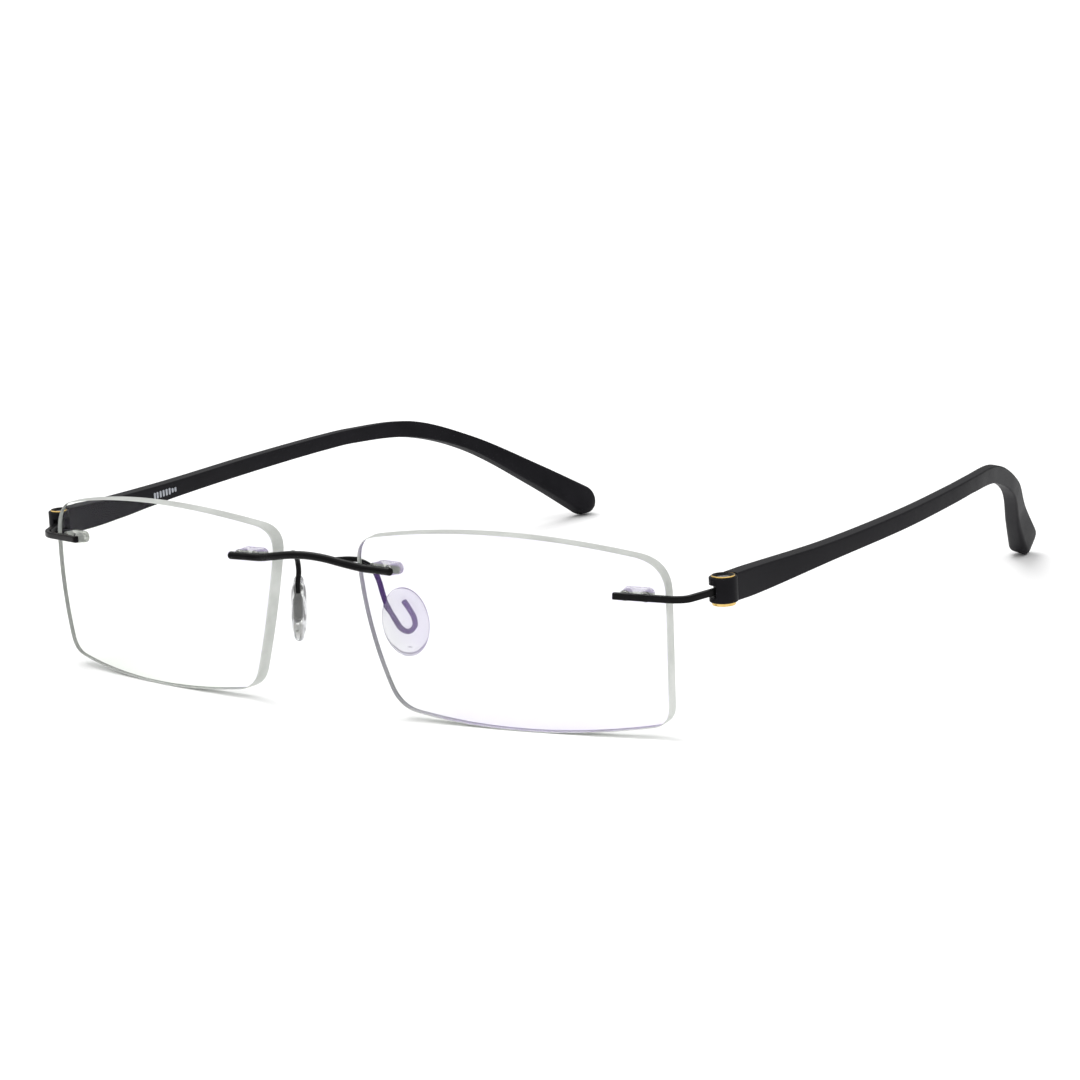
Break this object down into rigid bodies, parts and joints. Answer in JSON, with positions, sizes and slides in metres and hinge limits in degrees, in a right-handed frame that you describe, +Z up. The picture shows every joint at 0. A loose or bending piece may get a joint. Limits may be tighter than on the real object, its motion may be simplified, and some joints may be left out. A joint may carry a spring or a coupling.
{
  "type": "rimless eyeglasses",
  "caption": "Rimless eyeglasses: clear rectangular lenses, wire bridge with pad arms and clear nose pads, slim endpieces, folding matt temples on screwless barrel hinges.",
  "frame": {"origin": "middle of the footprint of the open glasses, on the ground they stand on", "axes": "+X is the wearer's left, -Y is the front, +Z is up"},
  "size_m": [0.1386, 0.1506, 0.0311],
  "materials": {
    "lens": "polished clear, green-purple anti-reflection coat",
    "clear_plastic": "clear moulded",
    "silicone": "clear soft silicone",
    "black_metal": "satin black coat",
    "tr90": "fine matt",
    "gold": "polished gold plate",
    "steel": "polished"
  },
  "bodies": {
    "front": {"bridge": "black_metal", "left_lens": "lens", "right_lens": "lens", "left_bridge_bush": "clear_plastic", "right_bridge_bush": "clear_plastic", "left_bridge_pin_inner": "steel", "right_bridge_pin_inner": "steel", "left_bridge_pin_outer": "steel", "right_bridge_pin_outer": "steel", "left_endpiece_bush": "clear_plastic", "right_endpiece_bush": "clear_plastic", "left_endpiece_pin_inner": "steel", "right_endpiece_pin_inner": "steel", "left_endpiece_pin_outer": "steel", "right_endpiece_pin_outer": "steel", "left_endpiece": "black_metal", "right_endpiece": "black_metal", "left_pad_arm": "black_metal", "right_pad_arm": "black_metal", "left_nose_pad": "silicone", "right_nose_pad": "silicone", "left_hinge_sleeve": "gold", "right_hinge_sleeve": "gold", "left_hinge_pin": "steel", "right_hinge_pin": "steel"},
    "left_temple": {"left_temple": "tr90"},
    "right_temple": {"right_temple": "tr90"}
  },
  "joints": [
    {"name": "left_temple_fold", "type": "hinge", "parent": "front", "child": "left_temple", "pos_m": [0.06685, -0.05828, 0.0226], "axis": [0, 0, 1], "range_deg": [0, 82]},
    {"name": "right_temple_fold", "type": "hinge", "parent": "front", "child": "right_temple", "pos_m": [-0.06685, -0.05828, 0.0226], "axis": [0, 0, -1], "range_deg": [0, 62]}
  ]
}
